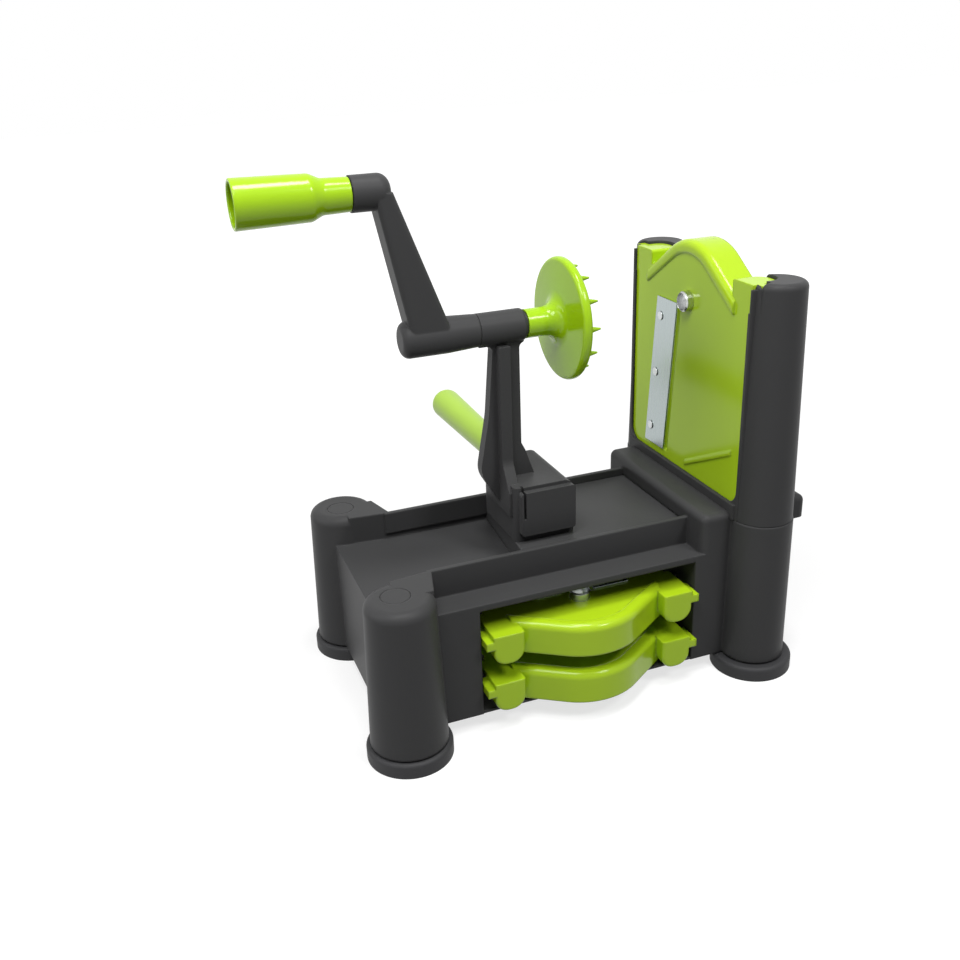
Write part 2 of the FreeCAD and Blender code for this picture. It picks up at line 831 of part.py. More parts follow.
def ear_notches(frame):
    """Notches in the column tops for the panel's ears and their tabs."""
    gap = "panel_clearance"
    front = "slot_front - lip_thickness - 1"
    back = f"plate_front + ear_depth + {gap}"
    inner, outer = "0", f"ear_outer_half + {gap}"
    round_back = f"ear_rounding + {gap}"
    near = [(front, f"-({outer})"), (back, f"-({outer})", round_back),
            (back, inner), (front, inner)]
    far = [(x, negated(y), *rest) for x, y, *rest in reversed(near)]
    tab_front = f"plate_front + ear_tab_setback - {gap}"
    tab_back = f"{tab_front} + ear_tab_thickness + 2 * {gap}"
    tab_far = rectangle(tab_front, "0", tab_back, f"ear_tab_half + {gap}")
    tab_near = [(x, negated(y), radius) for x, y, radius in reversed(tab_far)]
    depth = "frame_height - ear_notch_bottom"
    for shape in (near, far, tab_near, tab_far):
        pocket(frame, outline(frame, "XY", "frame_height", shape), depth)


def screws(label, places, seat, plane="XY", body_place=("0", "0", "0"), reach="screw_grip"):
    """Group of pan head screws that point along the plane's normal from their seat."""
    group = grouped_body(label, *body_place)
    heads = [(x, y, "screw_head_radius") for x, y in places]
    shanks = [(x, y, "screw_radius") for x, y in places]
    pad(group, circles(group, plane, seat, heads), "screw_head_height", Reversed=True)
    pad(group, circles(group, plane, seat, shanks), reach)
    return group


STORED_TURN = FreeCAD.Rotation(
    FreeCAD.Vector(0, 0, -1), FreeCAD.Vector(1, 0, 0), FreeCAD.Vector(0, -1, 0), "ZXY")
PANEL_PLACES = {
    "": ("plate_front", "0", "crank_axis_height", None),
    "upper_": ("bay_centre", "-stored_axis_offset", "upper_plate_top", STORED_TURN),
    "lower_": ("bay_centre", "-stored_axis_offset", "lower_plate_top", STORED_TURN),
}


def blade_quad(low, high, inner_shift, outer_shift):
    """Leaning strip beside the cutting edge, between two heights."""
    def along(height, shift):
        return f"blade_edge_offset - blade_lean * ({height}) + {shift}"
    return [(along(low, inner_shift), low), (along(low, outer_shift), low),
            (along(high, outer_shift), high), (along(high, inner_shift), high)]


def rivet_places():
    """Rivets along the back of a blade strip."""
    places = []
    for share in (0.12, 0.5, 0.88):
        height = f"blade_top - {share} * blade_length"
        places.append((f"blade_edge_offset - blade_lean * ({height}) + 0.75 * blade_width", height))
    return places


def arch_band(width):
    """Band of the arched hood: its outer outline and one set in from it by a width."""
    foot = "ear_inner_half + hood_wall"
    inner_corner = f"hood_corner - {width} * hood_stretch"
    return mirrored_outline([
        ("0", inner_corner, f"hood_radius - {width}"),
        (foot, f"{inner_corner} - hood_slope * ({foot})"),
        (foot, f"hood_corner - hood_slope * ({foot})"),
        ("0", "hood_corner", "hood_radius"),
    ])


def arch_side(edge):
    """How far an edge of the hood's lip lies outside the middle line of the lip."""
    point = edge.valueAt((edge.FirstParameter + edge.LastParameter) / 2)
    if edge.Curve.TypeId == "Part::GeomCircle":
        return point.z - value("hood_peak - hood_lip_width / 2")
    across = value("hood_slope") * abs(point.y)
    return point.z + across - value("hood_corner - hood_lip_width * hood_stretch / 2")


def outer_arch_edge(edge):
    return edge.BoundBox.YLength > 1 and arch_side(edge) > 0


def inner_arch_edge(edge):
    return edge.BoundBox.YLength > 1 and arch_side(edge) < 0


def blade_panel(prefix):
    """Plate with hood, ears and tabs; X is its thickness, and the coring tube is its origin."""
    panel = new_body(f"{prefix}blade_panel", *PANEL_PLACES[prefix])
    pad(panel, outline(panel, "YZ", "-hood_lip", arch_band("hood_lip_width")),
        "hood_lip + plate_thickness")
    pad(panel, outline(panel, "YZ", "0", arch_band("hood_wall")), "hood_depth")
    lip_front = flat_at("x", "-hood_lip")
    round_edges(panel, "hood_rounding", both(lip_front, outer_arch_edge))
    round_edges(panel, "hood_lip_rounding", both(lip_front, inner_arch_edge))
    lip_middle = "hood_corner - hood_lip_width / 2 * hood_stretch"
    plate = mirrored_outline([
        ("plate_half_width", "-plate_below_axis", "plate_corner"),
        ("plate_half_width", "ear_top"),
        ("ear_inner_half", "ear_top"),
        ("ear_inner_half", f"{lip_middle} - hood_slope * ear_inner_half"),
        ("0", lip_middle, "hood_radius - hood_lip_width / 2"),
    ])
    pad(panel, outline(panel, "YZ", "0", plate), "plate_thickness")

    ear = [("0", "ear_inner_half"), ("ear_depth", "ear_inner_half", "ear_rounding"),
           ("ear_depth", "ear_outer_half", "ear_rounding"), ("0", "ear_outer_half")]
    tab = rectangle("ear_tab_setback", "ear_outer_half - 1",
                    "ear_tab_setback + ear_tab_thickness", "ear_tab_half")
    for shape in (ear, tab):
        other = [(x, negated(y), *rest) for x, y, *rest in reversed(shape)]
        pad(panel, outline(panel, "XY", "ear_bottom", shape, other), "ear_top - ear_bottom")
    round_edges(panel, "ear_edge_rounding",
                both(flat_at("z", "ear_top"), lambda edge: edge.BoundBox.XMax > value("ear_depth") / 2))

    if not prefix:
        ridge = [("-ridge_start", "-ridge_start_drop"),
                 ("-ridge_start", "ridge_width - ridge_start_drop"),
                 ("-ridge_end", "ridge_width - ridge_end_drop"),
                 ("-ridge_end", "-ridge_end_drop")]
        pad(panel, outline(panel, "YZ", "-ridge_height", ridge), "ridge_height")
    blade_bottom = "blade_top - blade_length"
    slot = blade_quad(blade_bottom, "blade_top", "-blade_slot", "0")
    pocket(panel, outline(panel, "YZ", "plate_thickness", slot), "plate_thickness")
    holes = [("0", "0", "coring_radius + fixed_fit")]
    holes += [(y, z, "rivet_radius + fixed_fit") for y, z in rivet_places()]
    pocket(panel, circles(panel, "YZ", "plate_thickness", holes), "plate_thickness")
    return panel


def straight_blade(prefix):
    """Flat strip of steel on the panel's face with one ground edge beside the slot."""
    blade = new_body(f"{prefix}straight_blade", *PANEL_PLACES[prefix])
    strip = blade_quad("blade_top - blade_length", "blade_top", "0", "blade_width")
    pad(blade, outline(blade, "YZ", "-blade_thickness", strip), "blade_thickness")
    holes = [(y, z, "rivet_radius + fixed_fit") for y, z in rivet_places()]
    pocket(blade, circles(blade, "YZ", "0", holes), "blade_thickness")
    return blade


def blade_rivets(prefix):
    """Rivets through the blade and the plate, with a head on each side."""
    rivets = grouped_body(f"{prefix}blade_rivets", *PANEL_PLACES[prefix])
    shanks = [(y, z, "rivet_radius") for y, z in rivet_places()]
    heads = [(y, z, "rivet_head_radius") for y, z in rivet_places()]
    pad(rivets, circles(rivets, "YZ", "-blade_thickness", shanks),
        "blade_thickness + plate_thickness")
    pad(rivets, circles(rivets, "YZ", "-blade_thickness - rivet_head_height", heads),
        "rivet_head_height")
    pad(rivets, circles(rivets, "YZ", "plate_thickness", heads), "rivet_head_height")
    return rivets


def coring_tube(prefix):
    """Thin steel tube on the crank axis, sharpened in front and flanged behind the plate."""
    tube = new_body(f"{prefix}coring_tube", *PANEL_PLACES[prefix])
    bore = "coring_radius - coring_wall"
    flange_back = "plate_thickness + coring_flange_thickness"
    profile = [
        ("-coring_proud", bore),
        (flange_back, bore),
        (flange_back, "coring_flange_radius"),
        ("plate_thickness", "coring_flange_radius"),
        ("plate_thickness", "coring_radius"),
        ("coring_wall - coring_proud", "coring_radius"),
    ]
    turned(tube, "Revolution", outline(tube, "XZ", "0", profile), "H_Axis")
    return tube


def toothed_comb(prefix):
    """Strip with a row of upright teeth that score the food into strands."""
    comb = new_body(f"{prefix}toothed_comb", *PANEL_PLACES[prefix])
    pitch = f"{prefix}comb_pitch"
    comb_bottom = "comb_top - comb_length"
    strip = rectangle("-comb_outer", comb_bottom, "-comb_inner", "comb_top")
    pad(comb, outline(comb, "YZ", "-comb_thickness", strip), "comb_thickness")
    tip = "-comb_thickness - comb_tooth_height"
    tooth = [("0", "comb_top"), (tip, "comb_top"), ("-comb_thickness", f"comb_top - {pitch}"),
             ("0", f"comb_top - {pitch}")]
    sketch = outline(comb, "XZ", "comb_outer - comb_thickness", tooth)
    first_tooth = pad(comb, sketch, "comb_thickness")
    before = volume(comb)
    row = comb.newObject("PartDesign::LinearPattern", f"{comb.Name}_row")
    row.Originals = [first_tooth]
    row.Direction = (next(item for item in comb.Origin.OriginFeatures
                          if item.Role == "Z_Axis"), [""])
    row.Reversed = True
    count = int(value("comb_length") / value(pitch))
    row.Occurrences = count
    bind(row, "Length", f"{count - 1} * {pitch}")
    comb.Tip = row
    settle(comb, before, True)
    return comb


def tower_body(label, height="0"):
    """Body whose origin is on the crank tower's rib, at a height."""
    return new_body(label, "tower_x", "0", height)


def tower_screw_places():
    """Screws that hold the tower's foot block on the carriage, set in from its corners."""
    inset = "2 * screw_head_radius"
    near, far = f"-block_front + {inset}", f"block_back - {inset} - handle_spigot_length"
    left, right = f"{inset} - block_left", f"block_right - {inset}"
    return [(x, y) for x in (left, right) for y in (near, far)]


def handle_screw_place():
    return ("handle_offset", "block_back - handle_spigot_length / 2")


def carriage_plate():
    """Sliding plate: hollow below, with tongues in the grooves of the rails."""
    plate = tower_body("carriage_plate")
    half = "slab_half_width"
    shape = [("slab_left", f"-{half}"), ("slab_right", f"-{half}"), ("slab_right", half),
             ("slab_left + slab_slant", half)]
    pad(plate, outline(plate, "XY", "slab_bottom", shape), "slab_top - slab_bottom")
    tongue = [("slab_left + slab_slant", f"{half} - 1"), ("slab_right", f"{half} - 1"),
              ("slab_right", "tongue_half"), ("slab_left + slab_slant", "tongue_half")]
    other = [(x, negated(y)) for x, y in reversed(tongue)]
    pad(plate, outline(plate, "XY", "slab_bottom", tongue, other), "tongue_height")
    hollow = rectangle("block_right + slab_wall", f"slab_wall - {half}",
                       "slab_right - slab_wall", f"{half} - slab_wall")
    pocket(plate, outline(plate, "XY", "slab_bottom", hollow),
           "slab_top - slab_bottom - slab_wall", Reversed=True)
    places = tower_screw_places() + [handle_screw_place()]
    bores = [(x, y, "screw_head_radius + screw_fit") for x, y in places]
    holes = [(x, y, "screw_radius + screw_fit") for x, y in places]
    pocket(plate, circles(plate, "XY", "slab_bottom", bores), "screw_seat - slab_bottom",
           Reversed=True)
    pocket(plate, circles(plate, "XY", "screw_seat", holes), "slab_top - screw_seat",
           Reversed=True)
    return plate


def crank_tower():
    """Sleeve, ribbed post and foot block in one moulding."""
    tower = tower_body("crank_tower")
    under_sleeve = "crank_axis_height - sleeve_radius"
    web = [
        ("-post_tip", "post_tip_height"),
        ("post_right + post_flare", "post_tip_height"),
        ("post_right + post_flare", "block_top"),
        ("post_right + post_step", "post_step_height", "post_step"),
        ("post_right", "post_step_height + 2 * post_step"),
        ("post_right", under_sleeve, "sleeve_fillet"),
        ("sleeve_right", under_sleeve),
        ("sleeve_right", "crank_axis_height"),
        ("-sleeve_left", "crank_axis_height"),
        ("-sleeve_left", under_sleeve),
        ("-post_left", under_sleeve, "sleeve_fillet_left"),
        ("-post_waist", "post_waist_height", "post_waist_radius"),
        ("-post_belly", "post_belly_height", "post_belly_radius"),
    ]
    pad(tower, outline(tower, "XZ", "0", web), "post_web_thickness", SideType="Symmetric")
    sleeve = circles(tower, "YZ", "-sleeve_left", [("0", "crank_axis_height", "sleeve_radius")])
    pad(tower, sleeve, "sleeve_length")
    round_edges(tower, "sleeve_rounding", flat_at("x", "sleeve_right"))
    rib = mirrored_outline([
        ("rib_foot_half", "post_tip_height"),
        ("rib_foot_half", "block_top - rib_foot_drop"),
        ("post_rib_half_depth", "rib_flare_height", "post_rib_half_depth"),
        ("post_rib_half_depth", under_sleeve),
    ])
    pad(tower, outline(tower, "YZ", "-post_rib_width / 2", rib), "post_rib_width")

    block = [("-block_left", "-block_front", "block_rounding"),
             ("block_right", "-block_front"), ("block_right", "block_back"),
             ("-block_left", "block_back", "block_corner")]
    pad(tower, outline(tower, "XY", "slab_top", block), "block_top - slab_top")
    round_edges(tower, "block_corner",
                both(flat_at("x", "block_right"), flat_at("z", "block_top")))
    box = rectangle("box_left", "box_bottom", "block_right", "box_top", "box_rounding")
    pad(tower, outline(tower, "XZ", "box_front", box), "box_proud + block_rounding",
        Reversed=True)
    slot = rectangle("box_slot_left", "block_top - box_slot_length",
                     "box_slot_left + box_slot_width", "block_top + 1")
    pocket(tower, outline(tower, "XZ", "box_front", slot), "box_slot_depth")

    bore = circles(tower, "YZ", "-sleeve_left", [("0", "crank_axis_height", "sleeve_bore_radius")])
    pocket(tower, bore, "sleeve_length", Reversed=True)
    socket = circles(tower, "XZ", "-block_back",
                     [("handle_offset", "handle_height", "handle_spigot_radius + screw_fit")])
    pocket(tower, socket, "handle_spigot_length + screw_fit", Reversed=True)
    pilots = [(x, y, "screw_radius + fixed_fit") for x, y in tower_screw_places()]
    pocket(tower, circles(tower, "XY", "slab_top", pilots), "screw_grip + 1", Reversed=True)
    handle_hole = [(*handle_screw_place(), "screw_radius + screw_fit")]
    pocket(tower, circles(tower, "XY", "slab_top", handle_hole), "handle_height - slab_top",
           Reversed=True)
    return tower


def push_handle():
    """Round handle that stands out to the far side, with a spigot in the foot block."""
    handle = new_body("push_handle", "tower_x + handle_offset", "block_back", "handle_height")
    profile = [
        ("-handle_spigot_length", "0"),
        ("handle_length", "0"),
        ("handle_length", "handle_tip_radius", "handle_tip_rounding"),
        ("0", "handle_root_radius"),
        ("0", "handle_spigot_radius"),
        ("-handle_spigot_length", "handle_spigot_radius"),
    ]
    turned(handle, "Revolution", outline(handle, "YZ", "0", profile), "H_Axis")
    hole = [("0", "-handle_spigot_length / 2", "screw_radius + fixed_fit")]
    pocket(handle, circles(handle, "XY", "-handle_spigot_radius", hole), "handle_spigot_radius",
           Reversed=True)
    return handle


def sleeve_bush(label, left):
    """Plain bush in one end of the tower's sleeve."""
    bush = tower_body(label, "crank_axis_height")
    ring = [("0", "0", "sleeve_bore_radius - fixed_fit"),
            ("0", "0", "shaft_radius + shaft_clearance")]
    pad(bush, circles(bush, "YZ", left, ring), "bush_length")
    return bush


def flat_key(body, left, length, bore_radius):
    """Flat side of a bore, for the flat on the shaft."""
    low = f"{bore_radius} - flat_depth"
    shape = rectangle(left, low, f"{left} + {length}", f"{bore_radius} + flat_depth")
    pad(body, outline(body, "XZ", "0", shape), f"2 * {bore_radius}", SideType="Symmetric")


def crank_arm():
    """Hub, slanting arm and boss in one moulding."""
    arm = tower_body("crank_arm", "crank_axis_height")
    web = [
        ("-arm_foot_left", "0"),
        ("-arm_foot_right", "0"),
        ("-arm_head_right", "crank_radius"),
        ("-arm_head_left", "crank_radius"),
        ("-arm_head_left", "crank_radius - boss_radius"),
    ]
    pad(arm, outline(arm, "XZ", "0", web), "2 * arm_half_width", SideType="Symmetric")
    round_edges(arm, "arm_rounding",
                both(either(flat_at("y", "-arm_half_width"), flat_at("y", "arm_half_width")),
                     lambda edge: edge.BoundBox.ZLength > value("crank_radius / 2")))
    hub = [("hub_left", "0"), ("hub_right", "0"), ("hub_right", "hub_taper_radius"),
           ("hub_left + hub_taper_start", "hub_radius"), ("hub_left", "hub_radius", "hub_rounding")]
    turned(arm, "Revolution", outline(arm, "XZ", "0", hub), "H_Axis")
    boss = [("-boss_left", "0"), ("-arm_head_right", "0"),
            ("-arm_head_right", "boss_radius", "boss_rounding"), ("-boss_left", "boss_radius")]
    turned(arm, "Revolution", outline(arm, "XZ", "0", boss, shift=("0", "crank_radius")), "H_Axis")
    bore_radius = "shaft_radius + fixed_fit"
    pocket(arm, circles(arm, "YZ", "hub_right", [("0", "0", bore_radius)]), "hub_bore_depth")
    flat_key(arm, "hub_right - hub_bore_depth", "hub_bore_depth", f"({bore_radius})")
    thread = [("0", "crank_radius", "screw_radius + fixed_fit")]
    pocket(arm, circles(arm, "YZ", "-boss_left", thread), "grip_pin_thread_length + 1",
           Reversed=True)
    return arm


def crank_shaft():
    """Steel shaft with a flat at each end, from the crank hub to the food holder."""
    shaft = tower_body("crank_shaft", "crank_axis_height")
    left = "hub_right - hub_bore_depth + fixed_fit"
    rod = circles(shaft, "YZ", left, [("0", "0", "shaft_radius")])
    pad(shaft, rod, f"holder_shaft_end - ({left})")
    flat_low = "shaft_radius - flat_depth - fixed_fit"
    flats = [rectangle(f"{left} - 1", flat_low, "hub_right", "shaft_radius + 1"),
             rectangle("neck_left", flat_low, "holder_shaft_end + 1", "shaft_radius + 1")]
    pocket(shaft, outline(shaft, "XZ", "0", *flats), "2 * shaft_radius", SideType="Symmetric")
    hole = circles(shaft, "YZ", "holder_shaft_end", [("0", "0", "screw_radius + fixed_fit")])
    pocket(shaft, hole, "screw_grip + fixed_fit")
    return shaft


def thrust_washer():
    washer = tower_body("thrust_washer", "crank_axis_height")
    ring = [("0", "0", "washer_radius"), ("0", "0", "shaft_radius + fixed_fit")]
    pad(washer, circles(washer, "YZ", "washer_left", ring), "washer_thickness")
    return washer


def food_holder():
    """Neck and disc that grip the food with a ring of teeth."""
    holder = tower_body("food_holder", "crank_axis_height")
    profile = [
        ("neck_left", "0"),
        ("disc_front", "0"),
        ("disc_front", "disc_radius", "disc_rim_rounding"),
        ("disc_back", "disc_radius", "disc_rim_rounding"),
        ("disc_back - disc_dish", "neck_radius", "disc_flare"),
        ("neck_left", "neck_radius"),
    ]
    turned(holder, "Revolution", outline(holder, "XZ", "0", profile), "H_Axis")
    tooth = [("disc_front - 1", "0"), ("disc_front + tooth_height", "0"),
             ("disc_front + tooth_height", "tooth_tip_radius"), ("disc_front - 1", "tooth_radius")]
    sketch = outline(holder, "XZ", "0", tooth, shift=("0", "tooth_circle_radius"))
    turned(holder, "Revolution", sketch, "H_Axis")
    before = volume(holder)
    ring = holder.newObject("PartDesign::PolarPattern", "teeth")
    ring.Originals = [holder.Tip]
    ring.Axis = (next(item for item in holder.Origin.OriginFeatures
                      if item.Role == "X_Axis"), [""])
    ring.Angle = 360
    bind(ring, "Occurrences", "tooth_count")
    holder.Tip = ring
    settle(holder, before, True)
    bore_radius = "shaft_radius + fixed_fit"
    bore_length = "disc_back - neck_left"
    pocket(holder, circles(holder, "YZ", "neck_left", [("0", "0", bore_radius)]), bore_length,
           Reversed=True)
    flat_key(holder, "neck_left", bore_length, f"({bore_radius})")
    pocket(holder, circles(holder, "YZ", "disc_back", [("0", "0", "screw_radius + screw_fit")]),
           "disc_rim_thickness", Reversed=True)
    pocket(holder, circles(holder, "YZ", "disc_front", [("0", "0", "screw_head_radius + 1")]),
           "holder_recess")
    return holder


def holder_screw():
    """Screw that draws the food holder onto the shaft, sunk in the disc's face."""
    screw = tower_body("holder_screw", "crank_axis_height")
    seat = "disc_front - holder_recess"
    pad(screw, circles(screw, "YZ", seat, [("0", "0", "screw_head_radius")]), "holder_head_height")
    pad(screw, circles(screw, "YZ", seat, [("0", "0", "screw_radius")]),
        f"{seat} - holder_shaft_end + screw_grip", Reversed=True)
    return screw


def turning_grip():
    """Hollow grip, open at its outer end, that turns on a shoulder screw in the boss."""
    grip = tower_body("turning_grip", "grip_axis_height")
    bore = "grip_pin_radius + shaft_clearance"
    profile = [
        ("grip_right", bore),
        ("grip_right", "grip_neck_radius"),
        ("grip_neck_left", "grip_neck_end_radius", "grip_shoulder_rounding"),
        ("grip_body_right", "grip_shoulder_radius", "grip_shoulder_rounding"),
        ("grip_end", "grip_end_radius", "grip_end_rounding"),
        ("grip_end", "grip_end_radius - grip_wall", "grip_end_rounding"),
        ("grip_cavity_floor", "grip_shoulder_radius - grip_wall", "grip_floor_rounding"),
        ("grip_cavity_floor", bore),
    ]
    turned(grip, "Revolution", outline(grip, "XZ", "0", profile), "H_Axis")
    return grip


def grip_screw():
    """Shoulder screw: head and shank inside the grip, thread in the crank boss."""
    screw = tower_body("grip_screw", "grip_axis_height")
    head_right = "grip_cavity_floor - grip_gap - grip_washer_thickness"
    profile = [
        (f"{head_right} - grip_pin_head_height", "0"),
        ("grip_pin_thread_length - boss_left", "0"),
        ("grip_pin_thread_length - boss_left", "screw_radius"),
        ("-boss_left", "screw_radius"),
        ("-boss_left", "grip_pin_radius"),
        (head_right, "grip_pin_radius"),
        (head_right, "grip_pin_head_radius"),
        (f"{head_right} - grip_pin_head_height", "grip_pin_head_radius", "grip_end_rounding"),
    ]
    turned(screw, "Revolution", outline(screw, "XZ", "0", profile), "H_Axis")
    return screw


def grip_washer():
    washer = tower_body("grip_washer", "grip_axis_height")
    left = "grip_cavity_floor - grip_gap - grip_washer_thickness"
    ring = [("0", "0", "grip_pin_head_radius + 1"), ("0", "0", "grip_pin_radius + fixed_fit")]
    pad(washer, circles(washer, "YZ", left, ring), "grip_washer_thickness")
    return washer


nodes = [base_housing(), column_plugs(), blade_frame()]
for side_x, along_name in ((-1, "left"), (1, "right")):
    for side_y, across_name in ((-1, "front"), (1, "back")):
        nodes.append(suction_foot(f"suction_foot_{across_name}_{along_name}", side_x, side_y))
nodes.append(screws("frame_screws", [("column_x", "-column_y"), ("column_x", "column_y")],
                    "socket_underside", reach="socket_floor + screw_grip"))
nodes += [carriage_plate(), crank_tower(), push_handle()]
nodes.append(screws("tower_screws", tower_screw_places(), "screw_seat",
                    body_place=("tower_x", "0", "0"), reach="slab_top - screw_seat + screw_grip"))
nodes.append(screws("handle_screw", [handle_screw_place()], "screw_seat",
                    body_place=("tower_x", "0", "0"), reach="handle_height - screw_seat"))
nodes.append(sleeve_bush("outer_sleeve_bush", "-sleeve_left"))
nodes.append(sleeve_bush("inner_sleeve_bush", "sleeve_right - bush_length"))
nodes += [crank_arm(), crank_shaft(), thrust_washer(), food_holder(), holder_screw()]
nodes += [turning_grip(), grip_screw(), grip_washer()]
for prefix in PANEL_PLACES:
    nodes += [blade_panel(prefix), straight_blade(prefix), blade_rivets(prefix),
              coring_tube(prefix)]
    if prefix:
        nodes.append(toothed_comb(prefix))

document.recompute()
for item in document.Objects:
    if "Invalid" in item.State or "Error" in item.State:
        raise RuntimeError(f"{item.Label} did not rebuild: {item.State}")
os.makedirs("parts", exist_ok=True)
for node in nodes:
    if node.Shape.isNull() or not node.Shape.isValid():
        raise RuntimeError(f"{node.Label} has no valid shape")
    node.Shape.exportStep(f"parts/{node.Label}.step")
    print(f"{node.Label}: {len(node.Shape.Solids)} solids, {node.Shape.Volume:.0f} mm3")
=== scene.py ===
import json
import math

import bpy
from mathutils import Matrix, Vector


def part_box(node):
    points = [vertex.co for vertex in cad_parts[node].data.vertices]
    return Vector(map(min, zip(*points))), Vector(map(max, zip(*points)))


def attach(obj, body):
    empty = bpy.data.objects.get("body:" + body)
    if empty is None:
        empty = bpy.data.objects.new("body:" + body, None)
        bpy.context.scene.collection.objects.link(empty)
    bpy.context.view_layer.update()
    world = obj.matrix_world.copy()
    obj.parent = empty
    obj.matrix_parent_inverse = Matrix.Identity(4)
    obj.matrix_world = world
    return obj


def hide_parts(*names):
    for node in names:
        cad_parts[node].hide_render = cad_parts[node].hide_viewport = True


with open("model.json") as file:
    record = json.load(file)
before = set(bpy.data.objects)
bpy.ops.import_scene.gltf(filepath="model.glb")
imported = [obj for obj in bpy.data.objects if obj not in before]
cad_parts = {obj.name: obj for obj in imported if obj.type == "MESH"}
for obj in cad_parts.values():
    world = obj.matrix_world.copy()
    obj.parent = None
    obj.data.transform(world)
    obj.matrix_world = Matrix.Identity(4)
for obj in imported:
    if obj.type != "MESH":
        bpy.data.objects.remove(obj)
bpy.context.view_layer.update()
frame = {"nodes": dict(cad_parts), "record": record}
nodes = frame["nodes"]
bpy.ops.object.select_all(action="DESELECT")

# Counter and studio light.
# The slicer stands on a pale counter that runs into a white backdrop. Two soft lights hang above,
# one stands to the front right for the gloss on the edges, and a broad one fills from the left.

eye = Vector((-0.2122, -0.4779, 0.3409))
look_azimuth, look_elevation, camera_roll = -20.08, 23.77, -2.27
lens_mm, sensor_mm = 38.985, 36.0
clip_near, clip_far = 0.01, 50

turn, tilt = math.radians(look_azimuth), math.radians(look_elevation)
backward = Vector((math.sin(turn) * math.cos(tilt), -math.cos(turn) * math.cos(tilt),
                   math.sin(tilt)))
camera_data = bpy.data.cameras.new("camera")
camera_data.lens = lens_mm
camera_data.sensor_width = sensor_mm
camera_data.clip_start = clip_near
camera_data.clip_end = clip_far
camera = bpy.data.objects.new("camera", camera_data)
bpy.context.scene.collection.objects.link(camera)
camera.matrix_world = (
    Matrix.Translation(eye)
    @ (-backward).to_track_quat("-Z", "Y").to_matrix().to_4x4()
    @ Matrix.Rotation(math.radians(camera_roll), 4, "Z"))
bpy.context.scene.camera = camera
bpy.context.scene.view_settings.view_transform = "Standard"

counter_size = 8.0
counter_colour = (0.3, 0.3, 0.3, 1)
counter_roughness, counter_shine = 0.9, 0.1
white = (1, 1, 1, 1)
lift_near, lift_far = 0.72, 1.0
lift_start, lift_end = 0.25, 0.9
sky_light, sky_seen = 0.14, 1.0


def seen_directly(tree):
    """1 on rays from the camera, gloss and glass, 0 on the rays that light the object."""
    path = tree.nodes.new("ShaderNodeLightPath")
    total = None
    for name in ("Is Camera Ray", "Is Glossy Ray", "Is Transmission Ray"):
        if total is None:
            total = path.outputs[name]
            continue
        joined = tree.nodes.new("ShaderNodeMath")
        joined.operation = "MAXIMUM"
        tree.links.new(total, joined.inputs[0])
        tree.links.new(path.outputs[name], joined.inputs[1])
        total = joined.outputs[0]
    return total


bpy.ops.mesh.primitive_plane_add(size=counter_size, location=(0, 0, 0))
counter = bpy.context.object
counter.name = "counter"
counter_paint = bpy.data.materials.new("counter_paint")
counter_paint.use_nodes = True
tree = counter_paint.node_tree
shader = tree.nodes["Principled BSDF"]
shader.inputs["Base Color"].default_value = counter_colour
shader.inputs["Roughness"].default_value = counter_roughness
shader.inputs["Specular IOR Level"].default_value = counter_shine
shader.inputs["Emission Color"].default_value = white
place = tree.nodes.new("ShaderNodeTexCoord")
reach = tree.nodes.new("ShaderNodeVectorMath")
reach.operation = "LENGTH"
tree.links.new(place.outputs["Object"], reach.inputs[0])
lift = tree.nodes.new("ShaderNodeMapRange")
lift.interpolation_type = "SMOOTHSTEP"
lift.inputs["From Min"].default_value = lift_start
lift.inputs["From Max"].default_value = lift_end
lift.inputs["To Min"].default_value = lift_near
lift.inputs["To Max"].default_value = lift_far
tree.links.new(reach.outputs["Value"], lift.inputs["Value"])
glow = tree.nodes.new("ShaderNodeMath")
glow.operation = "MULTIPLY"
tree.links.new(lift.outputs["Result"], glow.inputs[1])
tree.links.new(seen_directly(tree), glow.inputs[0])
tree.links.new(glow.outputs[0], shader.inputs["Emission Strength"])
counter.data.materials.append(counter_paint)

sky = bpy.data.worlds.new("studio")
bpy.context.scene.world = sky
sky.use_nodes = True
tree = sky.node_tree
background = tree.nodes["Background"]
background.inputs["Color"].default_value = white
strength = tree.nodes.new("ShaderNodeMapRange")
strength.inputs["To Min"].default_value = sky_light
strength.inputs["To Max"].default_value = sky_seen
tree.links.new(seen_directly(tree), strength.inputs["Value"])
tree.links.new(strength.outputs["Result"], background.inputs["Strength"])


def softbox(name, place, aim, size, watts):
    """Square area light aimed at a point."""
    data = bpy.data.lights.new(name, "AREA")
    data.shape = "SQUARE"
    data.size = size
    data.energy = watts
    lamp = bpy.data.objects.new(name, data)
    bpy.context.scene.collection.objects.link(lamp)
    lamp.location = place
    lamp.rotation_mode = "QUATERNION"
    lamp.rotation_quaternion = (Vector(aim) - Vector(place)).to_track_quat("-Z", "Y")


middle = (0, 0, 0.12)
small_box, broad_box = 0.3, 1.0
softbox("top_light", (0.08, -0.1, 1.4), middle, small_box, watts=8.5)
softbox("near_light", (-0.25, -0.3, 0.8), middle, small_box, watts=3.6)
softbox("right_light", (0.5, -0.85, 1.3), middle, small_box, watts=8)
softbox("left_light", (-1.3, 0.1, 0.75), middle, broad_box, watts=7.5)

# Base housing: the channel with its rails, walls, bay, columns and crossbars in one moulding.
# Dark grey polypropylene out of a finely eroded tool: satin, with a faint even grain, slightly
# uneven gloss, small radii on every edge and a painted pale highlight along them.

dark_grey, dark_roughness, dark_shine = (0.046, 0.046, 0.047), 0.44, 0.09
# The second number below is the strength of the painted highlight that pales the edges.
dark_edge, dark_sheen = 0.0014, 0.05
edge_samples = 6
# Noise that breaks the painted edge highlight into patches.
sheen_scale, sheen_detail = 260, 3
cloud_scale, cloud_detail = 38, 4
grain_detail, grain_height = 2, 0.0001
noise_middle = 0.5


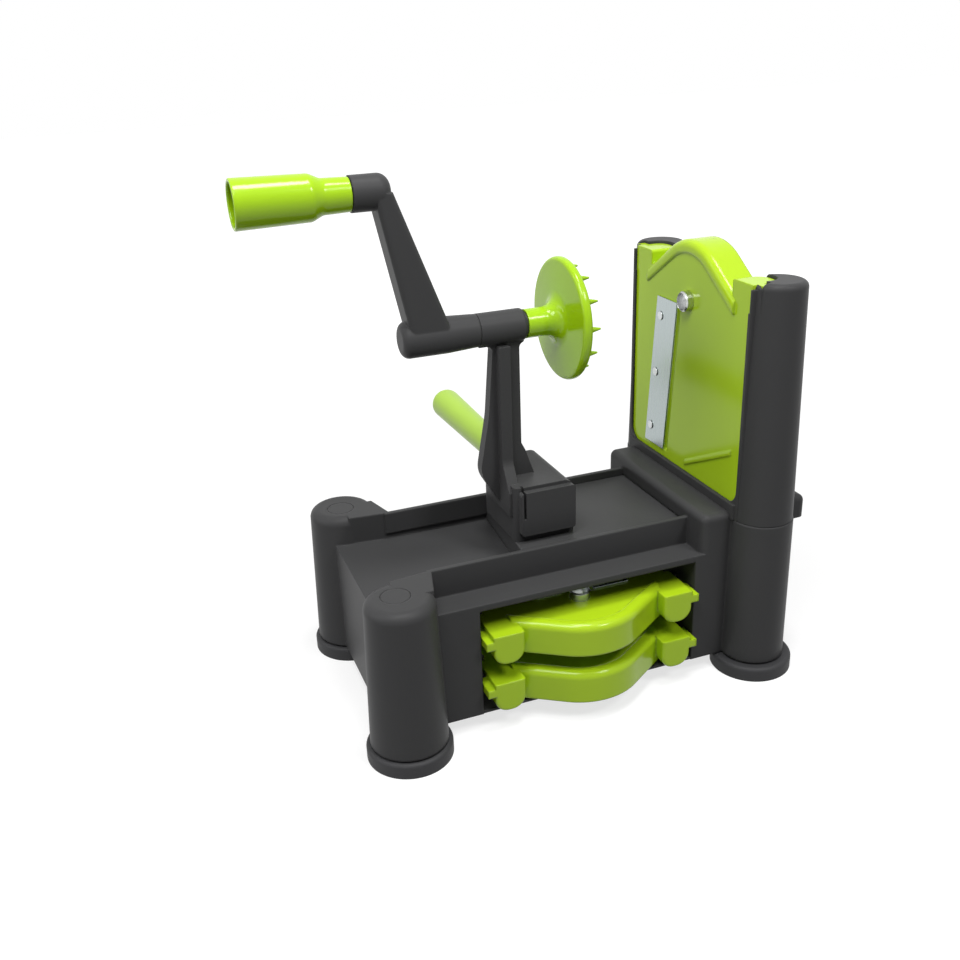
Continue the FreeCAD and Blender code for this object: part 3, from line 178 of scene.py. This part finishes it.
def new_material(name):
    """New node material, with its tree and its Principled shader."""
    material = bpy.data.materials.new(name)
    material.use_nodes = True
    return material, material.node_tree, material.node_tree.nodes["Principled BSDF"]


def new_group(name, inputs, outputs):
    """Empty node group with named sockets, and its input and output nodes."""
    group = bpy.data.node_groups.new(name, "ShaderNodeTree")
    for label, kind, value in inputs:
        socket = group.interface.new_socket(label, in_out="INPUT", socket_type=kind)
        socket.default_value = value
    for label, kind in outputs:
        group.interface.new_socket(label, in_out="OUTPUT", socket_type=kind)
    return group, group.nodes.new("NodeGroupInput"), group.nodes.new("NodeGroupOutput")


def sum_node(group, operation, *terms):
    """Math node whose inputs are sockets or numbers. Gives its output."""
    node = group.nodes.new("ShaderNodeMath")
    node.operation = operation
    for place, term in enumerate(terms):
        if isinstance(term, (int, float)):
            node.inputs[place].default_value = term
        else:
            group.links.new(term, node.inputs[place])
    return node.outputs[0]


def noise_node(group, place, scale, detail):
    """Noise on the given coordinates. The scale is a number or a socket."""
    noise = group.nodes.new("ShaderNodeTexNoise")
    noise.inputs["Detail"].default_value = detail
    group.links.new(place, noise.inputs["Vector"])
    if isinstance(scale, (int, float)):
        noise.inputs["Scale"].default_value = scale
    else:
        group.links.new(scale, noise.inputs["Scale"])
    return noise.outputs["Fac"]


def edge_node(group, radius):
    """Bevel node that rounds the edges in the shading only."""
    edge = group.nodes.new("ShaderNodeBevel")
    edge.samples = edge_samples
    group.links.new(radius, edge.inputs["Radius"])
    return edge.outputs["Normal"]


def scaled_colour(group, colour, factor):
    """Colour times a socket's value."""
    toned = group.nodes.new("ShaderNodeVectorMath")
    toned.operation = "SCALE"
    group.links.new(colour, toned.inputs[0])
    group.links.new(factor, toned.inputs["Scale"])
    return toned.outputs["Vector"]


def bump_node(group, normal, strength, height, distance):
    """Bump over a normal. The distance is the height in metres at full strength."""
    bump = group.nodes.new("ShaderNodeBump")
    bump.inputs["Distance"].default_value = distance
    group.links.new(normal, bump.inputs["Normal"])
    group.links.new(strength, bump.inputs["Strength"])
    group.links.new(height, bump.inputs["Height"])
    return bump.outputs["Normal"]


def skin_group():
    """Moulded skin: mottled colour and gloss, fine grain, soft edges with a patchy painted
    highlight.
    """
    group, into, out = new_group("moulded_skin", (
        ("Colour", "NodeSocketColor", (0.5, 0.5, 0.5, 1)),
        ("Mottle", "NodeSocketFloat", 0.06),
        ("Roughness", "NodeSocketFloat", 0.4),
        ("Gloss Change", "NodeSocketFloat", 0.08),
        ("Grain Size", "NodeSocketFloat", 0.0004),
        ("Grain Depth", "NodeSocketFloat", 0.15),
        ("Edge Radius", "NodeSocketFloat", 0.0006),
        ("Edge Rub", "NodeSocketFloat", 0.1)),
        (("Colour", "NodeSocketColor"), ("Roughness", "NodeSocketFloat"),
         ("Normal", "NodeSocketVector")))
    link = group.links.new
    place = group.nodes.new("ShaderNodeTexCoord").outputs["Object"]

    soft_edge = edge_node(group, into.outputs["Edge Radius"])
    flat = group.nodes.new("ShaderNodeNewGeometry")
    lean = group.nodes.new("ShaderNodeVectorMath")
    lean.operation = "DOT_PRODUCT"
    link(soft_edge, lean.inputs[0])
    link(flat.outputs["Normal"], lean.inputs[1])
    # Painted highlight: the colour is paled where the rounded shading normal leans off the flat
    # one, along the edges, in patches of noise.
    near_edge = sum_node(group, "SUBTRACT", 1, lean.outputs["Value"])
    sheen_mask = sum_node(group, "MULTIPLY", near_edge,
                      noise_node(group, place, sheen_scale, sheen_detail))
    rub = sum_node(group, "MULTIPLY", sheen_mask, into.outputs["Edge Rub"])

    cloud = sum_node(group, "SUBTRACT", noise_node(group, place, cloud_scale, cloud_detail),
                     noise_middle)
    tint = sum_node(group, "MULTIPLY_ADD", cloud, into.outputs["Mottle"], 1)
    paler = group.nodes.new("ShaderNodeVectorMath")
    paler.operation = "ADD"
    link(scaled_colour(group, into.outputs["Colour"], tint), paler.inputs[0])
    link(rub, paler.inputs[1])
    link(paler.outputs["Vector"], out.inputs["Colour"])
    link(sum_node(group, "MULTIPLY_ADD", cloud, into.outputs["Gloss Change"],
                  into.outputs["Roughness"]), out.inputs["Roughness"])

    fineness = sum_node(group, "DIVIDE", 1, into.outputs["Grain Size"])
    grain = noise_node(group, place, fineness, grain_detail)
    link(bump_node(group, soft_edge, into.outputs["Grain Depth"], grain, grain_height),
         out.inputs["Normal"])
    return group


moulded_skin = skin_group()


def skinned_material(name, group, colour, **skin_values):
    """Material whose colour, roughness and normal come from a skin group."""
    material, tree, shader = new_material(name)
    skin = tree.nodes.new("ShaderNodeGroup")
    skin.node_tree = group
    skin.inputs["Colour"].default_value = (*colour, 1)
    for label, value in skin_values.items():
        skin.inputs[label.replace("_", " ").title()].default_value = value
    tree.links.new(skin.outputs["Colour"], shader.inputs["Base Color"])
    tree.links.new(skin.outputs["Roughness"], shader.inputs["Roughness"])
    tree.links.new(skin.outputs["Normal"], shader.inputs["Normal"])
    return material, shader


def moulded_plastic(name, colour, shine, **skin_values):
    """Plastic with the moulded skin. The shine is the strength of its reflections."""
    material, shader = skinned_material(name, moulded_skin, colour, **skin_values)
    shader.inputs["Specular IOR Level"].default_value = shine
    return material


def dress(material, *names):
    """Give CAD nodes a finish in place of their plain one."""
    for name in names:
        data = nodes[name].data
        data.materials.clear()
        data.materials.append(material)


# Its edges are paled by the skin's painted highlight.
dark_plastic = moulded_plastic("dark_plastic", dark_grey, dark_shine, roughness=dark_roughness,
                               edge_radius=dark_edge, edge_rub=dark_sheen)
dress(dark_plastic, "base_housing")

# Bay floor: a thin dark tray between the bay's walls, under the lower stored panel.
# It is moulded in the base's plastic with a low rim all round, and keeps crumbs off the counter.

tray_low, tray_high = Vector((-0.0603, -0.0543, 0.0087)), Vector((0.0643, 0.0543, 0.0104))
tray_rim, tray_sink, tray_radius = 0.003, 0.0007, 0.0003
upward_limit = 0.9
edge_segments, smooth_degrees = 3, 38
bpy.ops.object.select_all(action="DESELECT")
bpy.ops.mesh.primitive_cube_add(size=1, location=(tray_low + tray_high) / 2)
tray = bpy.context.object
tray.name = "bay_floor"
tray.scale = tray_high - tray_low
bpy.ops.object.transform_apply(location=True, scale=True)
bpy.ops.object.mode_set(mode="EDIT")
bpy.ops.mesh.select_mode(type="FACE")
bpy.ops.mesh.select_all(action="DESELECT")
bpy.ops.object.mode_set(mode="OBJECT")
for face in tray.data.polygons:
    face.select = face.normal.z > upward_limit
bpy.ops.object.mode_set(mode="EDIT")
bpy.ops.mesh.inset(thickness=tray_rim)
bpy.ops.transform.translate(value=(0, 0, -tray_sink))
bpy.ops.object.mode_set(mode="OBJECT")
rounding = tray.modifiers.new("edge_radius", "BEVEL")
rounding.width = tray_radius
rounding.segments = edge_segments
bpy.ops.object.modifier_apply(modifier=rounding.name)
bpy.ops.object.shade_smooth_by_angle(angle=math.radians(smooth_degrees))
tray.data.materials.append(dark_plastic)
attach(tray, "base")

# Column plugs: small round caps of the base's plastic, pressed into the tops of the two low
# columns. Their rims are rounded, and they sit a hair proud.

plug_edge = 0.0003
merge_distance = 2e-6
flat_angle = math.radians(0.2)
body_of_node = {name: body for body, names in frame["record"]["behaviour"]["bodies"].items()
                for name in names}


def solid_copy(node_name, piece_name, material):
    """New selected piece with a node's merged shape, which stands for that node."""
    bpy.ops.object.select_all(action="DESELECT")
    piece = bpy.data.objects.new(piece_name, nodes[node_name].data.copy())
    bpy.context.scene.collection.objects.link(piece)
    piece.data.materials.clear()
    piece.data.materials.append(material)
    piece.select_set(True)
    bpy.context.view_layer.objects.active = piece
    bpy.ops.mesh.customdata_custom_splitnormals_clear()
    bpy.ops.object.mode_set(mode="EDIT")
    bpy.ops.mesh.select_all(action="SELECT")
    bpy.ops.mesh.remove_doubles(threshold=merge_distance)
    bpy.ops.mesh.dissolve_limited(angle_limit=flat_angle)
    bpy.ops.object.mode_set(mode="OBJECT")
    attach(piece, body_of_node[node_name])
    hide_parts(node_name)
    return piece


def softened(node_name, piece_name, material, radius):
    """Copy of a node with its sharp edges rounded off."""
    piece = solid_copy(node_name, piece_name, material)
    rounding = piece.modifiers.new("edge_radius", "BEVEL")
    rounding.width = radius
    rounding.segments = edge_segments
    rounding.limit_method = "ANGLE"
    rounding.angle_limit = math.radians(smooth_degrees)
    rounding.use_clamp_overlap = False
    rounding.miter_outer = "MITER_ARC"
    bpy.ops.object.modifier_apply(modifier=rounding.name)
    bpy.ops.object.shade_smooth_by_angle(angle=math.radians(smooth_degrees))
    even = piece.modifiers.new("even_shading", "WEIGHTED_NORMAL")
    even.keep_sharp = True
    bpy.ops.object.modifier_apply(modifier=even.name)
    return piece


softened("column_plugs", "column_plug_pair", dark_plastic, plug_edge)

# Suction feet: soft dark rubber cups under the four columns, snapped in by their stems.
# Rubber is duller than the plastic, and a bloom of dust greys it in patches.

foot_rubber = moulded_plastic("foot_rubber", (0.03, 0.03, 0.032), shine=0.3, roughness=0.62,
                              mottle=0.2, grain_depth=0.25, grain_size=0.0007,
                              edge_radius=0.0014, edge_rub=0.03)
dress(foot_rubber, *[name for name in nodes if name.startswith("suction_foot")])

# Blade frame: the two tall columns and the low wall between them, moulded as one.
# It plugs into the base's right columns, in the same plastic.

dress(dark_plastic, "blade_frame")

# Frame screws: zinc-plated pan heads with a cross recess, up through the base's right columns
# into the frame. Their plating is a little cloudy.

streak_detail, streak_height = 5, 0.00005
head_radius, head_edge = 0.0034, 0.0005
recess_span, recess_width, recess_depth = 0.0038, 0.0009, 0.0014


def streak_group():
    """Metal skin: streaks along the object's axes, scaled per axis, in colour, gloss and bump."""
    group, into, out = new_group("metal_streaks", (
        ("Colour", "NodeSocketColor", (0.6, 0.6, 0.6, 1)),
        ("Stretch", "NodeSocketVector", (200, 200, 200)),
        ("Contrast", "NodeSocketFloat", 0.15),
        ("Roughness", "NodeSocketFloat", 0.3),
        ("Gloss Change", "NodeSocketFloat", 0.15),
        ("Depth", "NodeSocketFloat", 0.1),
        ("Edge Radius", "NodeSocketFloat", 0.0002)),
        (("Colour", "NodeSocketColor"), ("Roughness", "NodeSocketFloat"),
         ("Normal", "NodeSocketVector")))
    link = group.links.new
    place = group.nodes.new("ShaderNodeTexCoord").outputs["Object"]
    stretched = group.nodes.new("ShaderNodeVectorMath")
    stretched.operation = "MULTIPLY"
    link(place, stretched.inputs[0])
    link(into.outputs["Stretch"], stretched.inputs[1])
    streak = sum_node(group, "SUBTRACT",
                      noise_node(group, stretched.outputs["Vector"], 1, streak_detail),
                      noise_middle)
    tint = sum_node(group, "MULTIPLY_ADD", streak, into.outputs["Contrast"], 1)
    link(scaled_colour(group, into.outputs["Colour"], tint), out.inputs["Colour"])
    link(sum_node(group, "MULTIPLY_ADD", streak, into.outputs["Gloss Change"],
                  into.outputs["Roughness"]), out.inputs["Roughness"])
    soft_edge = edge_node(group, into.outputs["Edge Radius"])
    link(bump_node(group, soft_edge, into.outputs["Depth"], streak, streak_height),
         out.inputs["Normal"])
    return group


metal_streaks = streak_group()


def streaked_metal(name, colour, **skin_values):
    """Metal whose streaks run along the axes with the smallest stretch."""
    material, shader = skinned_material(name, metal_streaks, colour, **skin_values)
    shader.inputs["Metallic"].default_value = 1
    return material


zinc_plate = streaked_metal("zinc_plate", (0.58, 0.6, 0.61), roughness=0.32,
                            stretch=(500, 500, 500), contrast=0.25)


def cross_recess(piece, centre, axis):
    """Cut a cross into a screw head, whose face has its middle at the centre."""
    for across in range(3):
        if across == axis:
            continue
        bpy.ops.object.select_all(action="DESELECT")
        bpy.ops.mesh.primitive_cube_add(size=1, location=centre)
        bar = bpy.context.object
        span = [recess_width] * 3
        span[across] = recess_span
        span[axis] = 2 * recess_depth
        bar.scale = span
        bpy.ops.object.transform_apply(location=True, scale=True)
        piece.select_set(True)
        bpy.context.view_layer.objects.active = piece
        cut = piece.modifiers.new("recess", "BOOLEAN")
        cut.operation = "DIFFERENCE"
        cut.object = bar
        cut.solver = "EXACT"
        bpy.ops.object.modifier_apply(modifier=cut.name)
        bpy.data.objects.remove(bar)


def screws(node_name, piece_name, centres, axis=2):
    """Screws of a node with rounded heads and cross recesses."""
    piece = softened(node_name, piece_name, zinc_plate, head_edge)
    for centre in centres:
        cross_recess(piece, centre, axis)
    bpy.ops.object.select_all(action="DESELECT")
    piece.select_set(True)
    bpy.context.view_layer.objects.active = piece
    bpy.ops.object.shade_smooth_by_angle(angle=math.radians(smooth_degrees))


def head_centres(node_name):
    """Middles of the heads' lower faces, at the corners of a screw node's box."""
    low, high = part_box(node_name)
    xs = {round(low[0] + head_radius, 5), round(high[0] - head_radius, 5)}
    ys = {round(low[1] + head_radius, 5), round(high[1] - head_radius, 5)}
    return [(x, y, low[2]) for x in sorted(xs) for y in sorted(ys)]


screws("frame_screws", "frame_screw_pair", head_centres("frame_screws"))

# Carriage plate: a flat moulding that slides in the channel and carries the tower.
# The base's plastic, with its edges broken.

plate_edge = 0.0006
softened("carriage_plate", "carriage_moulding", dark_plastic, plate_edge)

# Crank tower: sleeve, ribbed post and foot block in one dark moulding, with tighter edges than
# the base. Four screws from below hold it on the carriage plate.

tower_edge = 0.0005
tower_plastic = moulded_plastic("tower_plastic", dark_grey, dark_shine,
                                roughness=dark_roughness, edge_radius=tower_edge,
                                edge_rub=dark_sheen)
dress(tower_plastic, "crank_tower")
screws("tower_screws", "tower_screw_set", head_centres("tower_screws"))

# Push handle: a pale green rod with a rounded end, moulded in harder plastic.
# Its spigot goes into the tower's foot, and one screw from below holds it.

handle_green = moulded_plastic("handle_green", (0.36, 0.56, 0.06), shine=0.25, roughness=0.32,
                               grain_depth=0.05, edge_rub=0.02)
dress(handle_green, "push_handle")
screws("handle_screw", "handle_screw_single", head_centres("handle_screw"))

# Sleeve bushes: two plain rings of cream-coloured acetal, pressed into the sleeve's ends.
# They carry the shaft and need no grease.

bush_edge = 0.0003
bush_plastic = moulded_plastic("bush_plastic", (0.66, 0.65, 0.58), shine=0.5, roughness=0.38,
                               grain_depth=0.05, edge_radius=bush_edge, edge_rub=0.02)
softened("outer_sleeve_bush", "outer_bush_ring", bush_plastic, bush_edge)
softened("inner_sleeve_bush", "inner_bush_ring", bush_plastic, bush_edge)

# Crank arm: hub, slanting arm and boss in one dark moulding.
# The hub is pressed on the shaft's square end.

dress(dark_plastic, "crank_arm")

# Crank shaft and thrust washer: a turned stainless shaft, with the lathe's marks round it,
# and a washer of blued, oiled steel that keeps the food holder off the sleeve.

shaft_edge, washer_edge = 0.0003, 0.0001
turned_steel = streaked_metal("turned_steel", (0.56, 0.57, 0.57), roughness=0.26,
                              stretch=(3000, 120, 120), depth=0.2)
softened("crank_shaft", "turned_shaft", turned_steel, shaft_edge)
oiled_steel = streaked_metal("oiled_steel", (0.05, 0.05, 0.053), roughness=0.5,
                             stretch=(900, 900, 900), contrast=0.3)
softened("thrust_washer", "thrust_ring", oiled_steel, washer_edge)

# Food holder: neck and disc in glossy green, from a polished tool, with a ring of short teeth.
# The screw in its hollow front holds it on the shaft.

low_end, high_end = 0, 1


def end_centre(node_name, end):
    """Middle of a node's box on its low or high end in X."""
    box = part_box(node_name)
    return box[end][0], (box[0][1] + box[1][1]) / 2, (box[0][2] + box[1][2]) / 2


gloss_green = moulded_plastic("gloss_green", (0.31, 0.53, 0.004), shine=0.3, roughness=0.17,
                              grain_depth=0.04, grain_size=0.004, edge_rub=0.03)
dress(gloss_green, "food_holder")
screws("holder_screw", "holder_screw_single", [end_centre("holder_screw", high_end)], axis=0)

# Turning grip: hollow green sleeve with a narrower neck, free on a shoulder screw in the boss.
# A steel washer lies between the screw's head and the grip's floor.

dress(gloss_green, "turning_grip")
screws("grip_screw", "grip_shoulder_screw", [end_centre("grip_screw", low_end)], axis=0)
softened("grip_washer", "grip_ring", turned_steel, washer_edge)

# Blade panels: green plates with a hood over the blade and an ear with a tab on each side.
# One stands in the frame and two lie in the bay. Gloss plastic, a shade yellower than the grip.

panel_green = moulded_plastic("panel_green", (0.38, 0.57, 0.012), shine=0.24, roughness=0.16,
                              grain_depth=0.04, grain_size=0.004, edge_radius=0.0015,
                              edge_rub=0.03)
dress(panel_green, "blade_panel", "upper_blade_panel", "lower_blade_panel")

# Straight blades and toothed combs: strips of stainless steel, ground along their length.
# The strip lies along Z in the standing panel and along Y in the stored ones.

strip_colour, strip_roughness, strip_depth = (0.40, 0.45, 0.45), 0.26, 0.25
strip_edge = 0.00015
along, across = 30, 2600
standing_strip = streaked_metal("standing_strip", strip_colour, roughness=strip_roughness,
                                stretch=(across, across, along), depth=strip_depth)
stored_strip = streaked_metal("stored_strip", strip_colour, roughness=strip_roughness,
                              stretch=(across, along, across), depth=strip_depth)
softened("straight_blade", "standing_blade", standing_strip, strip_edge)
for prefix in ("upper", "lower"):
    softened(f"{prefix}_straight_blade", f"{prefix}_stored_blade", stored_strip, strip_edge)
    dress(stored_strip, f"{prefix}_toothed_comb")

# Coring tubes: short steel tubes with a ground rim, which cut round the core. Each is moulded
# into its panel beside the blade, and the stored ones are duller.

dress(turned_steel, "coring_tube")
dress(zinc_plate, "upper_coring_tube", "lower_coring_tube")

# Rivets: small zinc-plated rivets with low domed heads.
# They hold each blade on its panel.

rivet_edge = 0.0004
for prefix in ("", "upper_", "lower_"):
    softened(f"{prefix}blade_rivets", f"{prefix}rivet_set", zinc_plate, rivet_edge)
